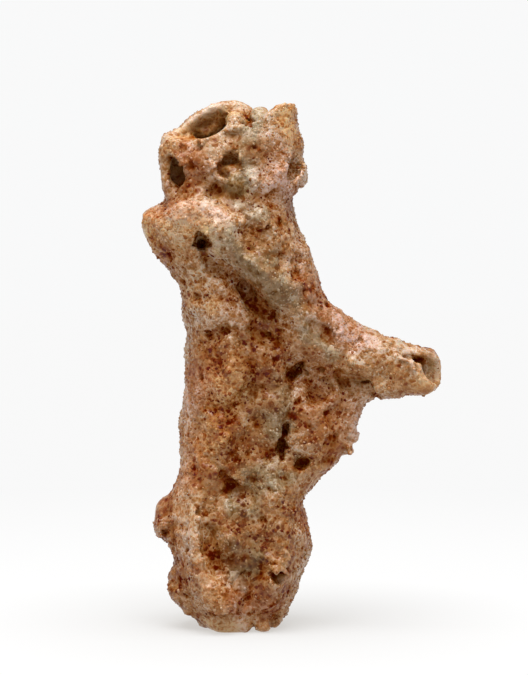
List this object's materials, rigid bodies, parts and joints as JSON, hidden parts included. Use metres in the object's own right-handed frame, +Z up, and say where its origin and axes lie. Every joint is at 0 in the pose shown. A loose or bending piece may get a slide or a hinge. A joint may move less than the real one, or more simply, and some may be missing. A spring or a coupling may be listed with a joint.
{
  "type": "fulgurite",
  "caption": "Small branching fulgurite, a rough hollow tube of lightning-fused desert sand with knobs, open pits, a broken rim and a short side branch, standing on its broken foot.",
  "frame": {"origin": "on the flat broken foot at the lower end, under the axis of the main tube", "axes": "+Z up along the main tube, +X towards the side branch, +Y from the front to the back"},
  "size_m": [0.0228, 0.0119, 0.0402],
  "materials": {
    "fused_sand": "satin"
  },
  "bodies": {
    "root": {"main_tube": "fused_sand", "side_branch": "fused_sand"}
  },
  "joints": []
}
